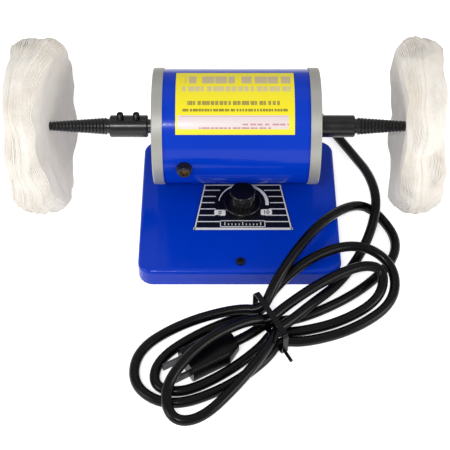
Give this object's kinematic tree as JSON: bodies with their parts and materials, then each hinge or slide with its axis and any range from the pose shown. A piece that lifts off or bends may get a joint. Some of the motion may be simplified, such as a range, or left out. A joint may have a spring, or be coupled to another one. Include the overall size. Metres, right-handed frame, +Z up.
{
  "type": "bench polisher",
  "caption": "Small bench polisher: a tube-bodied motor on a low base with a speed knob, a tapered threaded spindle and cotton buff at each end, and a tied-up mains lead.",
  "frame": {"origin": "middle of the machine's footprint box, buffs and spindles included and the lead left out, at the bench", "axes": "+X along the shaft towards the right-hand buff, +Y away from the user, +Z up"},
  "size_m": [0.3068, 0.3121, 0.1325],
  "materials": {
    "blue_enamel": "gloss enamel",
    "cast_grey": "fettled casting, satin",
    "black_oxide": "satin black oxide on steel",
    "zinc_steel": "bright zinc plate",
    "black_screw": "black oxide",
    "bearing_steel": "ground and polished",
    "lamination": "stacked electrical steel",
    "enamelled_copper": "varnished winding",
    "commutator_copper": "turned copper",
    "carbon": "pressed carbon",
    "spring_steel": "drawn wire",
    "brass_contact": "turned brass",
    "black_moulding": "moulded, satin",
    "knob_black": "moulded, gloss",
    "fan_plastic": "moulded nylon",
    "foot_rubber": "moulded rubber",
    "cord_pvc": "black sheath",
    "muslin": "loose cotton plies",
    "label_print": "printed film",
    "dial_print": "printed aluminium",
    "circuit_board": "glass-fibre board",
    "blade_brass": "plated brass"
  },
  "bodies": {
    "machine": {"base_pan": "blue_enamel", "motor_tube": "blue_enamel", "motor_saddle": "blue_enamel", "left_end_bell": "cast_grey", "right_end_bell": "cast_grey", "base_cover": "zinc_steel", "cover_pillars": "zinc_steel", "foot_screws": "zinc_steel", "saddle_bolts": "zinc_steel", "saddle_nuts": "zinc_steel", "tie_bolts": "zinc_steel", "tie_nuts": "zinc_steel", "potentiometer_nut": "zinc_steel", "cover_screws": "black_screw", "left_bearing_outer_race": "bearing_steel", "right_bearing_outer_race": "bearing_steel", "stator_core": "lamination", "field_coils": "enamelled_copper", "front_carbon_brush": "carbon", "rear_carbon_brush": "carbon", "front_brush_spring": "spring_steel", "rear_brush_spring": "spring_steel", "brush_contacts": "brass_contact", "front_brush_holder": "black_moulding", "rear_brush_holder": "black_moulding", "front_brush_cap": "black_moulding", "rear_brush_cap": "black_moulding", "lead_sleeve": "black_moulding", "speed_potentiometer": "black_moulding", "board_posts": "black_moulding", "board_components": "black_moulding", "rubber_feet": "foot_rubber", "strain_relief": "cord_pvc", "mains_cord": "cord_pvc", "cord_hank": "cord_pvc", "cord_tie": "cord_pvc", "plug_body": "cord_pvc", "motor_leads": "cord_pvc", "tube_label": "label_print", "dial_plate": "dial_print", "control_board": "circuit_board", "plug_blades": "blade_brass"},
    "rotor": {"armature_shaft": "zinc_steel", "armature_core": "lamination", "armature_windings": "enamelled_copper", "commutator": "commutator_copper", "cooling_fan": "fan_plastic", "left_bearing_inner_race": "bearing_steel", "right_bearing_inner_race": "bearing_steel", "left_spindle": "black_oxide", "right_spindle": "black_oxide", "left_collar_screws": "zinc_steel", "right_collar_screws": "zinc_steel", "left_buff": "muslin", "right_buff": "muslin"},
    "knob": {"speed_knob": "knob_black", "knob_grub_screw": "zinc_steel", "potentiometer_shaft": "zinc_steel"},
    "left_balls": {"left_bearing_ball_set": "bearing_steel"},
    "right_balls": {"right_bearing_ball_set": "bearing_steel"}
  },
  "joints": [
    {"name": "rotor_spin", "type": "hinge", "parent": "machine", "child": "rotor", "pos_m": [0.00587, 0.01481, 0.0695], "axis": [1, 0, 0], "continuous": true},
    {"name": "speed_turn", "type": "hinge", "parent": "machine", "child": "knob", "pos_m": [0.01077, -0.01499, 0.0175], "axis": [0, 0, -1], "range_deg": [-150, 150]},
    {"name": "left_ball_roll", "type": "hinge", "parent": "machine", "child": "left_balls", "pos_m": [0.00587, 0.01481, 0.0695], "axis": [1, 0, 0], "continuous": true},
    {"name": "right_ball_roll", "type": "hinge", "parent": "machine", "child": "right_balls", "pos_m": [0.00587, 0.01481, 0.0695], "axis": [1, 0, 0], "continuous": true}
  ],
  "couplings": [
    {"joint": "left_ball_roll", "follows": "rotor_spin", "ratio": 0.385},
    {"joint": "right_ball_roll", "follows": "rotor_spin", "ratio": 0.385}
  ]
}
